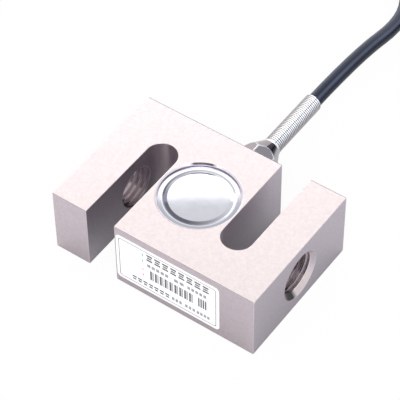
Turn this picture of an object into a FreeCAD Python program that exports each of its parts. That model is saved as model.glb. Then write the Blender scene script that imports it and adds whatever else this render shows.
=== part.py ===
import FreeCAD, Part
import math
import os

# S-type load cell, lying on its lower S-shaped face, in millimetres.
# The origin is the middle of that face. X is the load line through both threads,
# Y runs from the label wall to the cable wall, Z is up through the thickness.

Vec = FreeCAD.Vector
along_x = Vec(1, 0, 0)
along_y = Vec(0, 1, 0)
along_z = Vec(0, 0, 1)

# Block
beam_length = 76.2
beam_width = 50.8
beam_height = 25.4
arm_thickness = 13.3
slot_width = 10.7
bridge_thickness = 13.3
corner_break = 0.6
edge_break = 0.35

# Load thread through each arm, drilled to its core diameter
thread_size = 16.0
thread_pitch = 2.0
thread_depth = 1.0825        # core is this many pitches under the thread size
mouth_diameter = 17.6        # countersink in the end wall

# Gauge pocket in each large face, with a shear web between the two
pocket_diameter = 23.0
web_thickness = 3.0
seat_ledge = 1.7             # ring that the cover's flange sits on
seat_depth = 0.8
seat_break = 0.5
web_hole_diameter = 2.0
web_hole_offset = 7.2

# Pressed cover of a pocket
cover_fit = 0.05
cover_sheet = 0.5
dish_fit = 0.35              # between the dish and the wall of the pocket
dish_draft = 1.5             # floor of the dish inside its rim
dish_depth = 1.5

# Cable gland in the cable wall
gland_drop = 1.2             # axis below the middle of the thickness
gland_thread = 10.0
gland_pitch = 1.0
gland_fit = 0.05
shank_length = 7.5
gland_hole_depth = 9.0
hex_across = 12.0
hex_turn = 25.0              # degrees from a flat facing straight up
hex_length = 8.2
hex_crown = 13.8             # across, where the cone leaves the corners
cone_length = 6.3
nose_wall = 0.25
nose_length = 0.5
guard_grip = 3.0             # length of guard held inside the nose
wireway_diameter = 4.2       # slants down to the lower pocket along the cores

# Cable and its close-wound wire guard
cable_diameter = 5.1
cable_fit = 0.05
guard_wire = 0.6
guard_pitch = 0.66
guard_turns = 2              # turns drawn at each end, the rest is plain
guard_length = 23.4          # length in sight
guard_groove = 0.3
jacket_inside = 7.5          # jacket runs on this far inside the cable wall
core_diameter = 0.8
core_pitch = 1.4             # between two cores on the board
core_circle = 1.3
core_drop = 0.5              # cores below the axis where they leave the jacket
end_gap = 0.15               # clearance at the tilted ends of cores and leads

# Foil gauges, at 45 degrees to the load line on both sides of the web
gauge_length = 6.5
gauge_width = 4.5
gauge_backing = 0.15
gauge_spacing = 8.4
gauge_angle = 45.0
foil_thickness = 0.1
foil_length = 3.0
foil_width = 2.6
tab_size = 0.9

# Circuit board on the lower side of the web
board_length = 7.6
board_width = 3.4
board_thickness = 0.8
board_offset = -6.4
board_inset = 0.4
board_pad = 3.0              # foam pad that carries the board off the web
chip_length = 1.6
chip_width = 0.8
chip_height = 0.5
chip_spacing = 3.0

# Label on the front wall
label_length = 39.0
label_height = 20.0
label_thickness = 0.15
label_offset = 6.0
label_corner = 1.5

# Free cable: from the guard's end it runs on, sags and bends towards the coil
floor_gap = 0.05
lie_height = cable_diameter / 2 + floor_gap
sag_y = 92.0                 # the cable starts to sag here
bend_x = 1.7
bend_y = 121.8
bend_height = 6.0

# Coil of the put-away length, turns side by side and on each other
coil_x = 17.0
coil_y = 179.0
coil_middle = 30.5           # radius at the middle turn
coil_columns = 5
coil_rows = 2
coil_exit = 190.0            # degrees, heading of the cable as it leaves
coil_descent = 8.5           # degrees, slope of the lead-out
coil_lead = 20.5             # straight lead-in and lead-out of the coil
tie_width = 3.6
tie_thickness = 0.9
tie_gap = 0.2
tie_angle = -75.0
tie_head_length = 5.5
tie_head_height = 3.6
tie_tail = 7.0

# Flying leads at the free end
lead_diameter = 1.3
lead_circle = 1.15           # radius that the leads sit on inside the jacket
lead_angles = {"shield": 90, "green": 162, "white": 234, "black": 306, "red": 18}
lead_length = 40.0
lead_spread = 4.5            # between two lead tips

# Sizes that follow
end_x = beam_length / 2
wall_y = beam_width / 2
middle_z = beam_height / 2
slot_outer = end_x - arm_thickness
slot_inner = slot_outer - slot_width
slot_radius = slot_width / 2
slot_end = wall_y - bridge_thickness
core_radius = (thread_size - thread_depth * thread_pitch) / 2
web_lower = middle_z - web_thickness / 2
seat_radius = pocket_diameter / 2 + seat_ledge
cover_radius = seat_radius - cover_fit
dish_radius = pocket_diameter / 2 - dish_fit
gland_radius = (gland_thread - thread_depth * gland_pitch) / 2
cable_radius = cable_diameter / 2
guard_inner = cable_radius + cable_fit
guard_outer = guard_inner + guard_wire
nose_end = hex_length + cone_length + nose_length
guard_end = wall_y + nose_end + guard_length
gland_height = middle_z - gland_drop
gland_axis = Vec(0, wall_y, gland_height)
board_lower = web_lower - board_pad - board_thickness
core_start = Vec(0, wall_y - jacket_inside - end_gap, gland_height - core_drop)
core_stop = Vec(0, board_offset + (board_width - core_diameter) / 2,
                board_lower - core_diameter / 2 - end_gap)


def rounded(corners, place):
    # Closed outline through corners (u, v, radius), each rounded by a tangent arc.
    ends = []
    edges = []
    for i, (u, v, radius) in enumerate(corners):
        here = Vec(u, v)
        back = Vec(*corners[i - 1][:2]) - here
        ahead = Vec(*corners[(i + 1) % len(corners)][:2]) - here
        half = back.getAngle(ahead) / 2
        back.normalize()
        ahead.normalize()
        if radius > 0:
            reach = radius / math.tan(half)
            first = here + back * reach
            last = here + ahead * reach
            crown = here + (back + ahead).normalize() * (radius / math.sin(half) - radius)
            edges.append((first, crown, last))
            ends.append((first, last))
        else:
            edges.append(None)
            ends.append((here, here))
    shape = []
    for i, arc in enumerate(edges):
        if arc:
            shape.append(Part.Arc(*[place(p.x, p.y) for p in arc]).toShape())
        start = ends[i][1]
        stop = ends[(i + 1) % len(ends)][0]
        if start.distanceToPoint(stop) > 1e-6:
            shape.append(Part.LineSegment(place(start.x, start.y), place(stop.x, stop.y)).toShape())
    return Part.Wire(shape)


def parallel(corners, gap):
    # The same open line moved to its left by gap, with its rounds kept concentric.
    moved = []
    for i, (u, v, radius) in enumerate(corners):
        here = Vec(u, v)
        sides = []
        if i > 0:
            sides.append((here - Vec(*corners[i - 1][:2])).normalize())
        if i < len(corners) - 1:
            sides.append((Vec(*corners[i + 1][:2]) - here).normalize())
        left = [Vec(-side.y, side.x) for side in sides]
        turn = sides[0].cross(sides[-1]).z
        total = left[0] + left[-1]
        shift = total * (gap * 2 / total.dot(total)) if turn else left[0] * gap
        moved.append((u + shift.x, v + shift.y, radius - math.copysign(gap, turn) if radius else 0))
    return moved


def turned(corners, base, axis, side):
    # Solid turned about the axis through base; corners are (radius, distance, round).
    def place(radius, distance):
        return base + side * radius + axis * distance

    return Part.Face(rounded(corners, place)).revolve(base, axis, 360)


def rod(radius, start, stop):
    line = stop - start
    return Part.makeCylinder(radius, line.Length, start, line)


def box(length, width, height, centre):
    # Box by its size and the centre of its lower face.
    corner = centre - Vec(length / 2, width / 2, 0)
    return Part.makeBox(length, width, height, corner)


def tube(route, diameter, label=None):
    # Round tube along straight runs joined by tangent arcs as large as the runs allow.
    edges = []
    radii = []
    last = route[0]
    for before, here, after in zip(route, route[1:], route[2:]):
        back = before - here
        ahead = after - here
        half_turn = (math.pi - back.getAngle(ahead)) / 2
        reach = 0.45 * min(back.Length, ahead.Length)
        radius = reach / math.tan(half_turn)
        back.normalize()
        ahead.normalize()
        first = here + back * reach
        crown = here + (back + ahead).normalize() * (radius / math.cos(half_turn) - radius)
        edges.append(Part.LineSegment(last, first).toShape())
        last = here + ahead * reach
        edges.append(Part.Arc(first, crown, last).toShape())
        radii.append(radius)
    edges.append(Part.LineSegment(last, route[-1]).toShape())
    path = Part.Wire(edges)
    circle = Part.Circle(route[0], route[1] - route[0], diameter / 2).toShape()
    solid = path.makePipeShell([Part.Wire(circle)], True, False)
    if label:
        exact = math.pi * diameter ** 2 / 4 * path.Length
        print(label, "length", round(path.Length, 1), "radii", [round(r, 1) for r in radii],
              "volume ratio", round(solid.Volume / exact, 4))
    return solid


def flat(u, v):
    return Vec(u, v, 0)


def beam_outline():
    # The S: the left slot opens in the label wall, the right one in the cable wall.
    half = [
        (-end_x, -wall_y, 0),
        (-slot_outer, -wall_y, 0),
        (-slot_outer, slot_end, slot_radius),
        (-slot_inner, slot_end, slot_radius),
        (-slot_inner, -wall_y, 0),
        (end_x, -wall_y, 0),
    ]
    return half + [(-u, -v, radius) for u, v, radius in half]


def load_thread(side):
    # Cutter for the thread core with its countersink in the end wall and its lead at the slot.
    mouth = mouth_diameter / 2
    past = corner_break
    profile = [
        (0, slot_outer - past, 0),
        (core_radius, slot_outer - past, 0),
        (core_radius, end_x - mouth + core_radius, 0),
        (mouth, end_x, 0),
        (mouth, end_x + past, 0),
        (0, end_x + past, 0),
    ]
    return turned(profile, Vec(0, 0, middle_z), along_x * side, along_z)


def gauge_pocket(side):
    # Cutter for one pocket, turned about Z, with the seat of its cover.
    face = beam_height / 2
    floor = web_thickness / 2
    pocket = pocket_diameter / 2
    seat = seat_radius
    profile = [
        (0, floor, 0),
        (pocket, floor, 0),
        (pocket, face - seat_depth, 0),
        (seat, face - seat_depth, 0),
        (seat, face - seat_break, 0),
        (seat + seat_break, face, 0),
        (seat + seat_break, face + seat_break, 0),
        (0, face + seat_break, 0),
    ]
    return turned(profile, Vec(0, 0, middle_z), along_z * side, along_x)


def s_beam():
    beam = Part.Face(rounded(beam_outline(), flat)).extrude(Vec(0, 0, beam_height))
    corners = [e for e in beam.Edges if is_corner(e)]
    beam = beam.makeChamfer(corner_break, corners)
    rims = [e for e in beam.Edges if e.BoundBox.ZLength < edge_break]
    beam = beam.makeChamfer(edge_break, rims)
    hole_end = gland_axis - along_y * gland_hole_depth
    wireway_line = core_stop - core_start
    wireway_reach = (core_start.y - (pocket_diameter - wireway_diameter / 2) / 2) / -wireway_line.y
    web_hole = Vec(0, web_hole_offset, web_lower - edge_break)
    web_hole_end = web_hole + along_z * (web_thickness + 2 * edge_break)
    cutters = [load_thread(side) for side in (-1, 1)]
    cutters += [gauge_pocket(side) for side in (-1, 1)]
    cutters.append(rod(gland_radius + gland_fit, hole_end, gland_axis + along_y))
    cutters.append(rod(wireway_diameter / 2, core_start, core_start + wireway_line * wireway_reach))
    cutters.append(rod(web_hole_diameter / 2, web_hole, web_hole_end))
    return beam.cut(cutters)


def is_corner(edge):
    box = edge.BoundBox
    return abs(abs(box.Center.x) - end_x) < 1e-6 and abs(abs(box.Center.y) - wall_y) < 1e-6


def cover(side):
    # Pressed disc: a flange on the seat round a dished floor, all of one sheet.
    seat = beam_height / 2 - seat_depth
    line = [
        (cover_radius, seat, 0),
        (dish_radius, seat, 0),
        (dish_radius - dish_draft, seat - dish_depth, 0),
        (0, seat - dish_depth, 0),
    ]
    corners = line + parallel(line, -cover_sheet)[::-1]
    return turned(corners, Vec(0, 0, middle_z), along_z * side, along_x)


def gauge(side, hand):
    # Backing, foil grid and two solder tabs, turned to the shear direction.
    web = middle_z + side * web_thickness / 2
    top = gauge_backing
    solid = box(gauge_length, gauge_width, gauge_backing, Vec(0, 0, 0))
    foil_centre = (gauge_length - foil_length) / 2 - tab_size / 2
    solid = solid.fuse(box(foil_length, foil_width, foil_thickness, Vec(foil_centre, 0, top)))
    for tab in tab_places():
        solid = solid.fuse(box(tab_size, tab_size, foil_thickness, tab + along_z * top))
    solid = solid.removeSplitter()
    solid.rotate(Vec(), along_z, gauge_angle)
    if side < 0:
        solid = solid.mirror(Vec(), along_z)
    if hand < 0:
        solid = solid.mirror(Vec(), along_x)
    solid.translate(Vec(hand * gauge_spacing / 2, 0, web))
    return solid


def tab_places():
    # Solder tabs near the end of the backing that turns towards the label wall.
    reach = -(gauge_length - tab_size) / 2 + tab_size / 2
    return [Vec(reach, offset * (gauge_width / 2 - tab_size), 0) for offset in (-1, 1)]


def bridge_board():
    foot = Vec(0, board_offset, board_lower)
    board = box(board_length, board_width, board_thickness, foot)
    pad = box(board_length - 2 * board_inset, board_width - 2 * board_inset, board_pad,
              foot + along_z * board_thickness)
    return board.fuse(pad).removeSplitter()


def trim_resistors():
    chips = []
    for hand in (-1, 1):
        foot = Vec(hand * chip_spacing / 2, board_offset - board_width / 4, board_lower - chip_height)
        chips.append(box(chip_length, chip_width, chip_height, foot))
    return Part.makeCompound(chips)


def cable_cores():
    # Four cores run from the jacket's end down the slanted wireway to the edge of the board.
    cores = {}
    for i, colour in enumerate(("red", "black", "green", "white")):
        angle = math.radians(45 + 90 * i)
        spot = Vec(math.cos(angle), 0, math.sin(angle)) * (core_circle / 2)
        place = math.copysign(1.5 if spot.z > 0 else 0.5, spot.x)
        stop = core_stop + along_x * (place * core_pitch)
        cores["core_" + colour] = rod(core_diameter / 2, core_start + spot, stop)
    return cores


def gland_body():
    # Turned from hexagon bar: shank, hexagon, cone over its corners and a nose for the guard.
    guard_hole = guard_outer + cable_fit
    nose = guard_hole + nose_wall
    cable_hole = guard_inner
    shank = gland_radius
    profile = [
        (cable_hole, -shank_length, 0),
        (shank, -shank_length, 0),
        (shank, 0, 0),
        (hex_crown / 2, 0, 0),
        (hex_crown / 2, hex_length, 0),
        (nose, hex_length + cone_length, 0),
        (nose, nose_end, 0),
        (guard_hole, nose_end, 0),
        (guard_hole, nose_end - guard_grip, 0),
        (cable_hole, nose_end - guard_grip, 0),
    ]
    body = turned(profile, gland_axis, along_y, along_z)
    corner = hex_across / math.sqrt(3)
    points = []
    for i in range(7):
        angle = math.radians(60 * i + 30 + hex_turn)
        points.append(gland_axis + Vec(corner * math.sin(angle), -shank_length, corner * math.cos(angle)))
    bar = Part.Face(Part.makePolygon(points)).extrude(along_y * (shank_length + nose_end))
    return body.common(bar)


def spring_guard():
    # Close-wound wire with touching turns. The end turns are drawn and the run between
    # them is plain, as springs are drawn in the simplified way.
    stop = nose_end + guard_length
    valley = guard_outer - guard_groove
    corners = [(guard_inner, stop, 0), (guard_inner, nose_end - guard_grip, 0)]
    corners += [(guard_outer, nose_end - guard_grip, 0), (guard_outer, nose_end, 0)]
    for first in (nose_end, stop - guard_turns * guard_pitch):
        for i in range(guard_turns):
            foot = first + i * guard_pitch
            corners.append((valley, foot + guard_pitch / 2, 0))
            corners.append((guard_outer, foot + guard_pitch, 0))
        if first == nose_end:
            corners.append((guard_outer, stop - guard_turns * guard_pitch, 0))
    return turned(corners, gland_axis, along_y, along_z)


def cable_root():
    return rod(cable_radius, gland_axis - along_y * jacket_inside, Vec(0, guard_end, gland_height))


coil_centre = Vec(coil_x, coil_y, 0)
coil_outer_turn = coil_middle + (coil_columns - 1) * cable_diameter / 2
coil_outer = coil_outer_turn + cable_radius
coil_inner = coil_outer - coil_columns * cable_diameter
coil_height = coil_rows * cable_diameter
coil_corner = cable_radius / 2
coil_top_turn = tie_thickness + coil_height - cable_radius

# The last run of the cable touches the outer turn
cable_bend = Vec(bend_x, bend_y, bend_height)
to_centre = coil_centre - flat(bend_x, bend_y)
coil_entry = math.atan2(to_centre.x, to_centre.y) - math.asin(coil_outer_turn / to_centre.Length)


def coil_spot(heading, height):
    # Point of the outer turn where the wound cable has this heading, clockwise from Y.
    return coil_centre + Vec(-math.cos(heading), math.sin(heading), 0) * coil_outer_turn + along_z * height


coil_touch = coil_spot(coil_entry, lie_height)
lead_in_heading = (coil_touch - cable_bend).normalize()
coil_start = coil_touch - lead_in_heading * coil_lead
exit_heading = math.radians(coil_exit)
coil_slope = -math.tan(math.radians(coil_descent))
coil_leave = coil_spot(exit_heading, coil_top_turn)
lead_out_heading = Vec(math.sin(exit_heading), math.cos(exit_heading), coil_slope).normalize()
coil_finish = coil_leave + lead_out_heading * coil_lead

# Routes, point by point: from the guard to the coil, and from the coil to the bare end
cable_route = [
    Vec(0, guard_end, gland_height),
    Vec(0, sag_y, gland_height),
    cable_bend,
    coil_start,
]
tail_route = [
    coil_finish,
    coil_leave + lead_out_heading * ((coil_top_turn - lie_height) / -lead_out_heading.z),
]


def cable_coil():
    # Outer shape of the wound turns, with the ends of the lead-in and the lead-out.
    low = tie_thickness
    high = tie_thickness + coil_height
    corners = [
        (coil_inner + coil_corner, low, 0),
        (coil_outer - coil_corner, low, 0),
        (coil_outer, low + coil_corner, 0),
        (coil_outer, high - coil_corner, 0),
        (coil_outer - coil_corner, high, 0),
        (coil_inner + coil_corner, high, 0),
        (coil_inner, high - coil_corner, 0),
        (coil_inner, low + coil_corner, 0),
    ]
    ring = turned(corners, coil_centre, along_z, along_x)
    lead_in = rod(cable_radius, coil_start, coil_touch)
    lead_out = rod(cable_radius, coil_leave, coil_finish)
    return ring.fuse([lead_in, lead_out])


def coil_tie():
    # Strap round the section of the coil, with its head and a short tail on top.
    inner_low = coil_inner - tie_gap
    inner_high = coil_outer + tie_gap
    top = tie_thickness + coil_height + tie_gap
    bend = coil_corner
    loop_inner = [
        (inner_low, tie_thickness - floor_gap, bend),
        (inner_high, tie_thickness - floor_gap, bend),
        (inner_high, top, bend),
        (inner_low, top, bend),
    ]
    loop_outer = [
        (inner_low - tie_thickness, 0, bend + tie_thickness),
        (inner_high + tie_thickness, 0, bend + tie_thickness),
        (inner_high + tie_thickness, top + tie_thickness, bend + tie_thickness),
        (inner_low - tie_thickness, top + tie_thickness, bend + tie_thickness),
    ]

    def place(u, v):
        return Vec(u, -tie_width / 2, v)

    band = Part.Face(rounded(loop_outer, place)).extrude(along_y * tie_width)
    band = band.cut(Part.Face(rounded(loop_inner, place)).extrude(along_y * tie_width))
    head = box(tie_head_length, tie_width + 2 * tie_thickness, tie_head_height,
               Vec(coil_middle, 0, top + tie_thickness / 2))
    tail = box(tie_tail, tie_width, tie_thickness,
               Vec(coil_middle + tie_tail, 0, top + 2 * tie_thickness))
    tie = band.fuse([head, tail]).removeSplitter()
    tie.rotate(Vec(), along_z, tie_angle)
    tie.translate(coil_centre)
    return tie


def leads():
    # Five leads fan out from the jacket's end down to the floor.
    ahead = (tail_route[1] - tail_route[0]).normalize()
    sideways = ahead.cross(along_z).normalize()
    upward = sideways.cross(ahead)
    shapes = {}
    for place, colour in enumerate(("green", "white", "shield", "black", "red"), -2):
        angle = math.radians(lead_angles[colour])
        spot = (sideways * math.cos(angle) + upward * math.sin(angle)) * lead_circle
        start = tail_route[1] + ahead * end_gap * 2 + spot
        tip = tail_route[1] + ahead * lead_length + sideways * (place * lead_spread)
        tip.z = lead_diameter / 2 + floor_gap
        shapes["lead_" + colour] = rod(lead_diameter / 2, start, tip)
    return shapes


def name_label():
    foot = (beam_height - label_height) / 2
    left = label_offset - label_length / 2
    corners = [
        (left, foot, label_corner),
        (left + label_length, foot, label_corner),
        (left + label_length, foot + label_height, label_corner),
        (left, foot + label_height, label_corner),
    ]

    def place(u, v):
        return Vec(u, -wall_y - label_thickness, v)

    return Part.Face(rounded(corners, place)).extrude(along_y * label_thickness)


def pieces():
    nodes = {
        "s_beam": s_beam(),
        "top_cover": cover(1),
        "bottom_cover": cover(-1),
        "gauge_top_left": gauge(1, -1),
        "gauge_top_right": gauge(1, 1),
        "gauge_bottom_left": gauge(-1, -1),
        "gauge_bottom_right": gauge(-1, 1),
        "bridge_board": bridge_board(),
        "trim_resistors": trim_resistors(),
        "gland_body": gland_body(),
        "spring_guard": spring_guard(),
        "name_label": name_label(),
        "cable_root": cable_root(),
        "cable": tube(cable_route, cable_diameter, "cable"),
        "cable_coil": cable_coil(),
        "coil_tie": coil_tie(),
        "cable_tail": tube(tail_route, cable_diameter, "cable_tail"),
    }
    nodes.update(cable_cores())
    nodes.update(leads())
    return nodes


os.makedirs("parts", exist_ok=True)
for node, shape in pieces().items():
    shape.exportStep("parts/" + node + ".step")
    print(node, "volume", round(shape.Volume, 2), "valid", shape.isValid())
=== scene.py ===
import bpy
import bmesh
import math
from mathutils import Matrix, Vector


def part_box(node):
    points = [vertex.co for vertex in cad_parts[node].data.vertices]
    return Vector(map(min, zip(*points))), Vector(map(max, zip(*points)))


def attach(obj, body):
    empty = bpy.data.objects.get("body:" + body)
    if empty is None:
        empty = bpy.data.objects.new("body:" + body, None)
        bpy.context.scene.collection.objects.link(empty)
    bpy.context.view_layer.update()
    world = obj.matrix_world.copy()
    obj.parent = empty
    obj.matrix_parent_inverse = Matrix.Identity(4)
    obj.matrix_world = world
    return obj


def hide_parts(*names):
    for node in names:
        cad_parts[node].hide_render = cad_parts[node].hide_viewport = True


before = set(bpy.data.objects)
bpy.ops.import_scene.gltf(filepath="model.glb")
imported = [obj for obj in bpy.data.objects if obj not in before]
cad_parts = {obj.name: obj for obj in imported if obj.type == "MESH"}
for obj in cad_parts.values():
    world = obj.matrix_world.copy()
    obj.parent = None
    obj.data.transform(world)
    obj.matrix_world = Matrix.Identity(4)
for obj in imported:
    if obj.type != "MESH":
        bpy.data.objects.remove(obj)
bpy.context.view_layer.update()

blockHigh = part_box("s_beam")[1]
guardLow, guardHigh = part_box("spring_guard")
endX = blockHigh.x
wallY = blockHigh.y
blockTop = blockHigh.z
midZ = blockTop / 2
glandAxis = Vector((0, wallY, (guardLow.z + guardHigh.z) / 2))
alongX, alongY, alongZ = Vector((1, 0, 0)), Vector((0, 1, 0)), Vector((0, 0, 1))


def addNode(tree, kind, **settings):
    node = tree.nodes.new(kind)
    for key, value in settings.items():
        setattr(node, key, value)
    return node


def wire(tree, source, target):
    tree.links.new(source, target)
    return target.node


def maths(tree, operation, first, second=None, third=None):
    # one Math node, each input a socket or a number
    node = addNode(tree, "ShaderNodeMath", operation=operation)
    for place, value in enumerate((first, second, third)):
        if value is None:
            continue
        if isinstance(value, (int, float)):
            node.inputs[place].default_value = value
        else:
            tree.links.new(value, node.inputs[place])
    return node.outputs[0]


def product(tree, first, second):
    return maths(tree, "MULTIPLY", first, second)


def ramp(tree, value, low, high, toLow=0.0, toHigh=1.0):
    # value from low..high laid onto toLow..toHigh
    node = addNode(tree, "ShaderNodeMapRange")
    tree.links.new(value, node.inputs["Value"])
    for name, number in (("From Min", low), ("From Max", high), ("To Min", toLow), ("To Max", toHigh)):
        node.inputs[name].default_value = number
    return node.outputs["Result"]


def blendColor(tree, factor, first, second):
    # two colours, each a socket or a tuple, mixed by factor
    node = addNode(tree, "ShaderNodeMix", data_type="RGBA")
    tree.links.new(factor, node.inputs["Factor"])
    for name, value in (("A", first), ("B", second)):
        target = [s for s in node.inputs if s.name == name and s.type == "RGBA"][0]
        if isinstance(value, tuple):
            target.default_value = (*value, 1)
        else:
            tree.links.new(value, target)
    return [s for s in node.outputs if s.type == "RGBA"][0]


def tinted(tree, factor, color, tint):
    # colour multiplied by a tint, as far as factor goes
    node = addNode(tree, "ShaderNodeMix", data_type="RGBA", blend_type="MULTIPLY")
    pair = [s for s in node.inputs if s.type == "RGBA"]
    if isinstance(factor, (int, float)):
        node.inputs["Factor"].default_value = factor
    else:
        tree.links.new(factor, node.inputs["Factor"])
    tree.links.new(color, pair[0])
    if isinstance(tint, tuple):
        pair[1].default_value = (*tint, 1)
    else:
        tree.links.new(tint, pair[1])
    return [s for s in node.outputs if s.type == "RGBA"][0]


def newGroup(name, inputs, outputs):
    group = bpy.data.node_groups.new(name, "ShaderNodeTree")
    kinds = {float: "NodeSocketFloat", tuple: "NodeSocketVector"}
    for label, default in inputs.items():
        kind = kinds[type(default)]
        group.interface.new_socket(name=label, in_out="INPUT", socket_type=kind).default_value = default
    for label in outputs:
        group.interface.new_socket(name=label, in_out="OUTPUT", socket_type="NodeSocketFloat")
    return group, addNode(group, "NodeGroupInput"), addNode(group, "NodeGroupOutput")


def useGroup(tree, group, **values):
    # places a shared group; values are named by its inputs, with spaces left out
    node = addNode(tree, "ShaderNodeGroup", node_tree=group)
    for key, value in values.items():
        target = [s for s in node.inputs if s.name.replace(" ", "") == key][0]
        target.default_value = value
    return node


def grainGroup():
    # broad mottle and drawn lines of a worked surface; Stretch below 1 draws the lines out
    group, given, out = newGroup(
        "surfaceGrain", {"Grains per metre": 6000.0, "Mottles per metre": 120.0,
                         "Stretch": (1.0, 1.0, 1.0), "Turn": (0.0, 0.0, 0.0)}, ("Mottle", "Lines"))
    place = addNode(group, "ShaderNodeTexCoord").outputs["Object"]
    turn = addNode(group, "ShaderNodeVectorRotate", rotation_type="EULER_XYZ")
    wire(group, place, turn.inputs["Vector"])
    wire(group, given.outputs["Turn"], turn.inputs["Rotation"])
    drawn = addNode(group, "ShaderNodeVectorMath", operation="MULTIPLY")
    wire(group, turn.outputs[0], drawn.inputs[0])
    wire(group, given.outputs["Stretch"], drawn.inputs[1])
    for vector, rate, label in ((place, "Mottles per metre", "Mottle"),
                                (drawn.outputs[0], "Grains per metre", "Lines")):
        noise = addNode(group, "ShaderNodeTexNoise")
        noise.inputs["Detail"].default_value = 3.0
        wire(group, vector, noise.inputs["Vector"])
        wire(group, given.outputs[rate], noise.inputs["Scale"])
        wire(group, noise.outputs[0], out.inputs[label])
    return group


def edgeGroup():
    # 1 along edges, fading to 0 on flats, broken up by noise: the mask of painted highlights; Far Edge keeps
    # those at the back, the mask of painted dark reflections
    group, given, out = newGroup("edgeLightAndShade", {"Width": 0.0004, "Breakup per metre": 900.0},
                                 ("Edge", "Far Edge"))
    bevel = addNode(group, "ShaderNodeBevel", samples=6)
    wire(group, given.outputs["Width"], bevel.inputs["Radius"])
    normal = addNode(group, "ShaderNodeNewGeometry").outputs["Normal"]
    dot = addNode(group, "ShaderNodeVectorMath", operation="DOT_PRODUCT")
    wire(group, bevel.outputs[0], dot.inputs[0])
    wire(group, normal, dot.inputs[1])
    bend = maths(group, "SUBTRACT", 1.0, dot.outputs["Value"])
    noise = addNode(group, "ShaderNodeTexNoise")
    wire(group, addNode(group, "ShaderNodeTexCoord").outputs["Object"], noise.inputs["Vector"])
    wire(group, given.outputs["Breakup per metre"], noise.inputs["Scale"])
    spread = ramp(group, noise.outputs[0], 0.3, 0.7, 0.55, 1.0)
    wire(group, product(group, ramp(group, bend, 0.01, 0.16), spread), out.inputs["Edge"])
    split = addNode(group, "ShaderNodeSeparateXYZ")
    wire(group, bevel.outputs[0], split.inputs[0])
    backward, upward = ramp(group, split.outputs[1], 0.08, 0.25), ramp(group, split.outputs[2], 0.2, 0.5)
    wire(group, product(group, backward, upward), out.inputs["Far Edge"])
    return group


def facingGroup():
    # how far a surface looks along each axis, and whether it is a bevel between the top and the front
    group, given, out = newGroup("facing", {}, ("Right", "Back", "Up", "Front Bevel"))
    split = addNode(group, "ShaderNodeSeparateXYZ")
    wire(group, addNode(group, "ShaderNodeNewGeometry").outputs["Normal"], split.inputs[0])
    for place, label in enumerate(("Right", "Back", "Up")):
        wire(group, split.outputs[place], out.inputs[label])
    sideways = ramp(group, split.outputs[1], -0.69, -0.62, 1, 0)
    wire(group, product(group, sideways, ramp(group, split.outputs[2], 0.3, 0.5)),
         out.inputs["Front Bevel"])
    return group


def discGroup():
    # distance from the upright middle line, and how far a place lies towards Heading, -1..1
    group, given, out = newGroup("discPlace", {"Heading X": 0.0, "Heading Y": 1.0},
                                 ("Radius", "Towards", "Height"))
    place = addNode(group, "ShaderNodeSeparateXYZ")
    wire(group, addNode(group, "ShaderNodeTexCoord").outputs["Object"], place.inputs[0])
    spread = addNode(group, "ShaderNodeCombineXYZ")
    heading = addNode(group, "ShaderNodeCombineXYZ")
    for index in range(2):
        wire(group, place.outputs[index], spread.inputs[index])
        wire(group, given.outputs[index], heading.inputs[index])
    length = addNode(group, "ShaderNodeVectorMath", operation="LENGTH")
    wire(group, spread.outputs[0], length.inputs[0])
    along = addNode(group, "ShaderNodeVectorMath", operation="DOT_PRODUCT")
    wire(group, spread.outputs[0], along.inputs[0])
    wire(group, heading.outputs[0], along.inputs[1])
    wire(group, length.outputs["Value"], out.inputs["Radius"])
    wire(group, place.outputs[2], out.inputs["Height"])
    towards = maths(group, "DIVIDE", along.outputs["Value"], length.outputs["Value"])
    wire(group, towards, out.inputs["Towards"])
    return group


facing = facingGroup()
discPlace = discGroup()
surfaceGrain = grainGroup()
edgeLightAndShade = edgeGroup()
print("shared effects made")


def newFinish(name, color, metallic, roughness, **extras):
    material = bpy.data.materials.new(name)
    material.use_nodes = True
    shader = material.node_tree.nodes["Principled BSDF"]
    shader.inputs["Base Color"].default_value = (*color, 1)
    shader.inputs["Metallic"].default_value = metallic
    shader.inputs["Roughness"].default_value = roughness
    for key, value in extras.items():
        [s for s in shader.inputs if s.name.replace(" ", "") == key][0].default_value = value
    return material, material.node_tree, shader


def colorSoFar(shader):
    return shader.inputs["Base Color"].links[0].from_socket


def addBump(tree, shader, height, distance):
    bump = addNode(tree, "ShaderNodeBump")
    bump.inputs["Distance"].default_value = distance
    wire(tree, height, bump.inputs["Height"])
    wire(tree, bump.outputs[0], shader.inputs["Normal"])


def grainedFinish(name, color, shade, metallic, roughness, spread, bump, grain, **extras):
    # a plain finish varied by grain and mottle: colour towards shade, roughness by spread
    material, tree, shader = newFinish(name, color, metallic, roughness, **extras)
    worked = useGroup(tree, surfaceGrain, **grain)
    mottle = ramp(tree, worked.outputs["Mottle"], 0.3, 0.7)
    wire(tree, blendColor(tree, mottle, color, shade), shader.inputs["Base Color"])
    rough = ramp(tree, worked.outputs["Lines"], 0.3, 0.7, roughness - spread, roughness + spread)
    wire(tree, rough, shader.inputs["Roughness"])
    addBump(tree, shader, worked.outputs["Lines"], bump)
    return material, tree, shader


def toneStops(tree, value, stops):
    # colour laid out over value, stops given as (place, color)
    node = addNode(tree, "ShaderNodeValToRGB")
    wire(tree, value, node.inputs[0])
    marks = node.color_ramp.elements
    while len(marks) < len(stops):
        marks.new(0.5)
    for mark, (place, color) in zip(marks, stops):
        mark.position = place
        mark.color = (*color, 1)
    return node.outputs[0]


def facingTones(tree, shader, label, stops):
    # base colour by how far the surface looks along one axis, -1..1 given as places 0..1
    side = useGroup(tree, facing).outputs[label]
    tone = toneStops(tree, ramp(tree, side, -1, 1), stops)
    wire(tree, tinted(tree, 1, colorSoFar(shader), tone), shader.inputs["Base Color"])


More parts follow.
